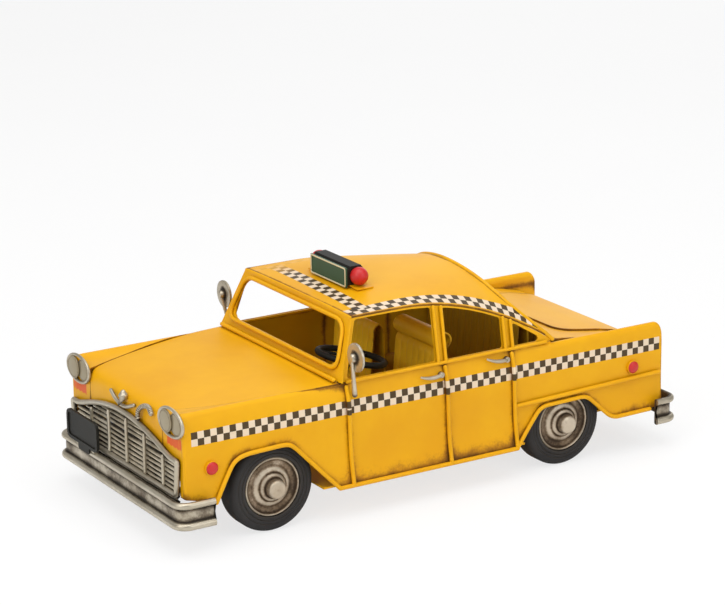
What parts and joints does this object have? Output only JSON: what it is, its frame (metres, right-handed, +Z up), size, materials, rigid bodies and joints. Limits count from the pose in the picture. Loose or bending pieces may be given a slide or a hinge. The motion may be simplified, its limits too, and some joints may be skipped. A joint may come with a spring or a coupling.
{
  "type": "toy taxi",
  "caption": "Tinplate toy taxi with open windows, check bands, roof sign, moustache grille, fins and two freely rolling axles; stands on its tyres.",
  "frame": {"origin": "centre of the bounding box, on the ground under the tyres", "axes": "+X to the front, +Y to the car's left, +Z up"},
  "size_m": [0.2976, 0.1454, 0.1126],
  "materials": {
    "taxi_paint": "satin yellow paint with brown weathering along seams and edges",
    "seat_paint": "satin yellow paint with dark wash in the ribs",
    "pewter": "dull pewter with dark wash in the recesses",
    "wheel_metal": "dull pressed metal with brown wash",
    "axle_steel": "plain drawn rod",
    "tyre_rubber": "smooth matt black",
    "black_paint": "satin black paint",
    "red_lacquer": "glossy red",
    "sign_green": "printed green face with a cream border, bare"
  },
  "bodies": {
    "body": {"floor_pan": "taxi_paint", "front_axle_bracket": "pewter", "rear_axle_bracket": "pewter", "left_front_fender": "taxi_paint", "right_front_fender": "taxi_paint", "left_front_door": "taxi_paint", "right_front_door": "taxi_paint", "left_rear_door": "taxi_paint", "right_rear_door": "taxi_paint", "left_rear_quarter": "taxi_paint", "right_rear_quarter": "taxi_paint", "hood": "taxi_paint", "windshield_frame": "taxi_paint", "windshield_trim": "taxi_paint", "left_window_frame": "taxi_paint", "right_window_frame": "taxi_paint", "window_trim": "taxi_paint", "roof": "taxi_paint", "roof_rim_wire": "taxi_paint", "rear_deck": "taxi_paint", "trunk_lid": "taxi_paint", "tail_panel": "taxi_paint", "left_trim_wires": "taxi_paint", "right_trim_wires": "taxi_paint", "front_bumper": "pewter", "rear_bumper": "pewter", "bumper_brackets": "pewter", "grille_frame": "pewter", "grille_slats": "pewter", "grille_bars": "pewter", "headlight_rings": "pewter", "headlight_discs": "pewter", "hood_ornament": "pewter", "hood_strap": "pewter", "number_plate": "black_paint", "plate_bracket": "pewter", "left_mirror": "pewter", "right_mirror": "pewter", "door_handles": "pewter", "lens_rims": "taxi_paint", "red_lenses": "red_lacquer", "sign_bracket": "taxi_paint", "sign_housing": "black_paint", "sign_face": "sign_green", "sign_lamps": "red_lacquer", "driver_seat": "seat_paint", "passenger_seat": "seat_paint", "rear_seat": "seat_paint", "steering_wheel": "black_paint", "steering_column": "black_paint"},
    "front_axle_set": {"front_axle": "axle_steel", "left_front_wheel": "wheel_metal", "right_front_wheel": "wheel_metal", "left_front_tyre": "tyre_rubber", "right_front_tyre": "tyre_rubber"},
    "rear_axle_set": {"rear_axle": "axle_steel", "left_rear_wheel": "wheel_metal", "right_rear_wheel": "wheel_metal", "left_rear_tyre": "tyre_rubber", "right_rear_tyre": "tyre_rubber"}
  },
  "joints": [
    {"name": "front_axle_roll", "type": "hinge", "parent": "body", "child": "front_axle_set", "pos_m": [0.0905, 0, 0.02285], "axis": [0, 1, 0], "continuous": true},
    {"name": "rear_axle_roll", "type": "hinge", "parent": "body", "child": "rear_axle_set", "pos_m": [-0.0806, 0, 0.02285], "axis": [0, 1, 0], "continuous": true}
  ]
}
